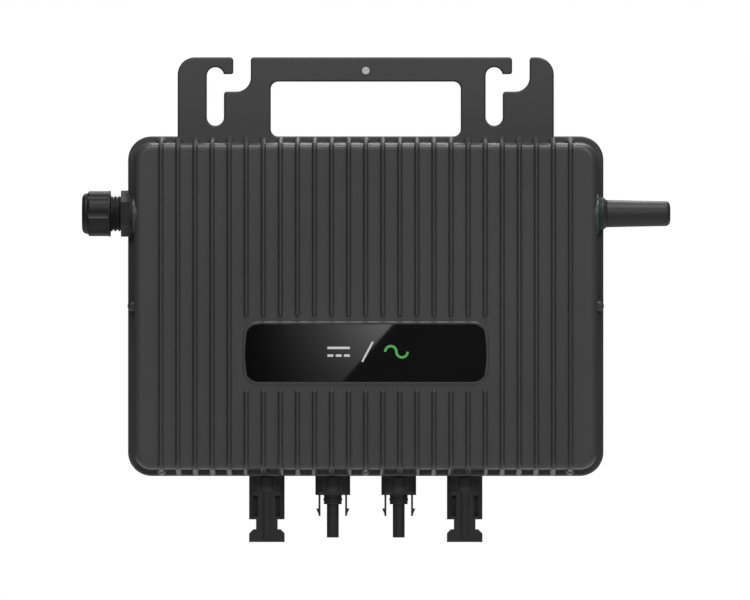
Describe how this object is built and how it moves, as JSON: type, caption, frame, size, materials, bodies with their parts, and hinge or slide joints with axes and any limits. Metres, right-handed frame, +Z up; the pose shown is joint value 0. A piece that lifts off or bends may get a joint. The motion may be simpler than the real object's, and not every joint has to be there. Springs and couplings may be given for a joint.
{
  "type": "micro inverter",
  "caption": "Ribbed die-cast power box with a slotted hanger and handle opening, cable gland on one side, stub antenna on the other and solar connectors below.",
  "frame": {"origin": "middle of the case, on the plane of the hanger's back face, which lies against the mounting rail", "axes": "+X right as seen from the front, +Y out of the back towards the rail, +Z up; the ribbed front faces -Y"},
  "size_m": [0.3234, 0.0439, 0.2673],
  "materials": {
    "case_coat": "satin",
    "housing_coat": "satin",
    "badge_gloss": "gloss",
    "gland_nylon": "satin",
    "antenna_plastic": "matte",
    "connector_plastic": "matte",
    "black_rubber": "matte",
    "green_rubber": "matte",
    "bare_aluminium": "satin",
    "steel": "satin",
    "brass_contact": "polished",
    "circuit_board": "satin",
    "ferrite": "matte",
    "copper_winding": "satin",
    "capacitor_can": "gloss",
    "yellow_plastic": "gloss",
    "dark_plastic": "satin",
    "grey_pad": "matte",
    "fuse_glass": "gloss",
    "terminal_plastic": "satin",
    "shield_metal": "satin"
  },
  "bodies": {
    "root": {"rear_case": "case_coat", "front_housing": "housing_coat", "case_gasket": "black_rubber", "case_screws": "steel", "earth_rivet": "bare_aluminium", "badge_panel": "badge_gloss", "gland_gasket": "black_rubber", "gland_body": "gland_nylon", "dc_coupler_left": "connector_plastic", "dc_coupler_right": "connector_plastic", "dc_plug_left": "connector_plastic", "dc_plug_right": "connector_plastic", "dc_pin_left": "brass_contact", "dc_pin_right": "brass_contact", "dc_socket_left": "brass_contact", "dc_socket_right": "brass_contact", "probe_seals": "black_rubber", "dc_gaskets": "black_rubber", "main_board": "circuit_board", "board_standoffs": "brass_contact", "board_screws": "steel", "transformer_cores": "ferrite", "transformer_windings": "copper_winding", "bulk_capacitors": "capacitor_can", "film_capacitors": "yellow_plastic", "grid_relays": "dark_plastic", "power_transistors": "dark_plastic", "thermal_pads": "grey_pad", "choke_core": "ferrite", "choke_winding": "copper_winding", "control_board": "circuit_board", "control_chip": "dark_plastic", "board_header": "dark_plastic", "ac_fuse": "fuse_glass", "ac_terminal_block": "terminal_plastic", "ac_terminal_screws": "steel", "dc_straps": "copper_winding", "radio_module": "shield_metal", "antenna_coax": "dark_plastic"},
    "gland_clamp": {"gland_seal": "black_rubber", "gland_claw": "gland_nylon"},
    "gland_nut": {"gland_nut": "gland_nylon"},
    "antenna_ring": {"antenna_seal": "green_rubber"},
    "antenna": {"antenna_base": "antenna_plastic", "antenna_sheath": "antenna_plastic", "antenna_core": "brass_contact"},
    "latch_left_outer": {"latch_left_outer": "connector_plastic"},
    "latch_left_inner": {"latch_left_inner": "connector_plastic"},
    "latch_right_outer": {"latch_right_outer": "connector_plastic"},
    "latch_right_inner": {"latch_right_inner": "connector_plastic"}
  },
  "joints": [
    {"name": "gland_feed", "type": "slide", "parent": "root", "child": "gland_clamp", "axis": [-1, 0, 0], "range_m": [0, 0.0065]},
    {"name": "gland_turn", "type": "hinge", "parent": "gland_clamp", "child": "gland_nut", "pos_m": [-0.148, -0.0144, 0.0509], "axis": [-1, 0, 0], "range_deg": [0, 1080]},
    {"name": "antenna_feed", "type": "slide", "parent": "root", "child": "antenna_ring", "axis": [1, 0, 0], "range_m": [0, 0.00405]},
    {"name": "antenna_turn", "type": "hinge", "parent": "antenna_ring", "child": "antenna", "pos_m": [0.14, -0.0144, 0.0509], "axis": [1, 0, 0], "range_deg": [0, 1440]},
    {"name": "latch_left_outer_flex", "type": "hinge", "parent": "root", "child": "latch_left_outer", "pos_m": [-0.02555, 0.00775, -0.103], "axis": [0, -1, 0], "range_deg": [0, 6], "stiffness_Nm_per_rad": 0.3},
    {"name": "latch_left_inner_flex", "type": "hinge", "parent": "root", "child": "latch_left_inner", "pos_m": [-0.01085, 0.00775, -0.103], "axis": [0, 1, 0], "range_deg": [0, 6], "stiffness_Nm_per_rad": 0.3},
    {"name": "latch_right_outer_flex", "type": "hinge", "parent": "root", "child": "latch_right_outer", "pos_m": [0.02555, 0.00775, -0.103], "axis": [0, 1, 0], "range_deg": [0, 6], "stiffness_Nm_per_rad": 0.3},
    {"name": "latch_right_inner_flex", "type": "hinge", "parent": "root", "child": "latch_right_inner", "pos_m": [0.01085, 0.00775, -0.103], "axis": [0, -1, 0], "range_deg": [0, 6], "stiffness_Nm_per_rad": 0.3}
  ],
  "couplings": [
    {"joint": "gland_feed", "follows": "gland_turn", "m_per_rad": 0.00033423},
    {"joint": "antenna_feed", "follows": "antenna_turn", "m_per_rad": 0.00015915}
  ]
}
